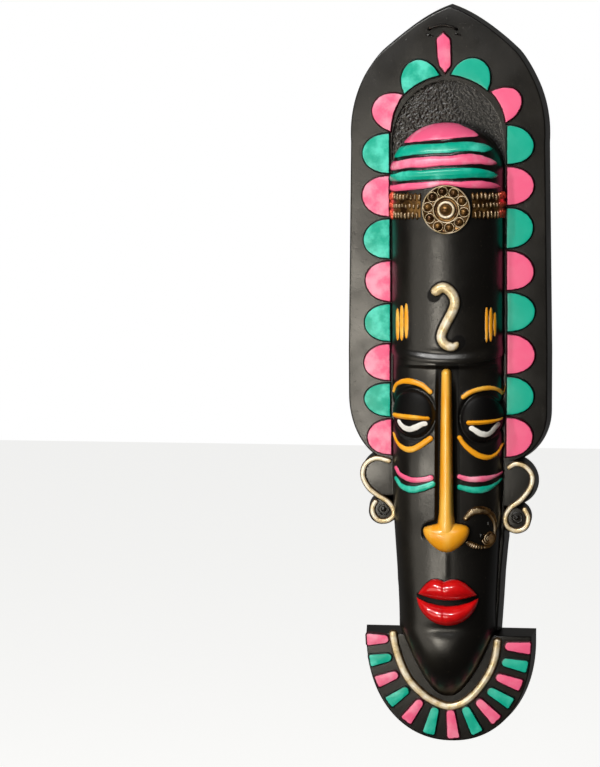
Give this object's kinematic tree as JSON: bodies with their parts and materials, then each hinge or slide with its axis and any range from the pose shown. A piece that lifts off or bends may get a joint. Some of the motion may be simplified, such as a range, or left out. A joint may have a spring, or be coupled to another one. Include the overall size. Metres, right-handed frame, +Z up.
{
  "type": "wall mask",
  "caption": "long terracotta wall mask: a painted face under a striped cap, standing out of a pointed board with a scalloped border, hollow behind the head and hung by a loop of wire",
  "frame": {"origin": "the point of the flat back that rests on the wall, 62 mm under the tip of the board and just under the pocket for the nail", "axes": "+Z is up along the mask, the front looks along -Y, +Y points into the wall and +X is to the viewer's right"},
  "size_m": [0.1684, 0.0624, 0.61],
  "materials": {
    "painted_clay": "satin",
    "black_wire": "satin"
  },
  "bodies": {
    "root": {"mask": "painted_clay", "hanging_wire": "black_wire"}
  },
  "joints": []
}
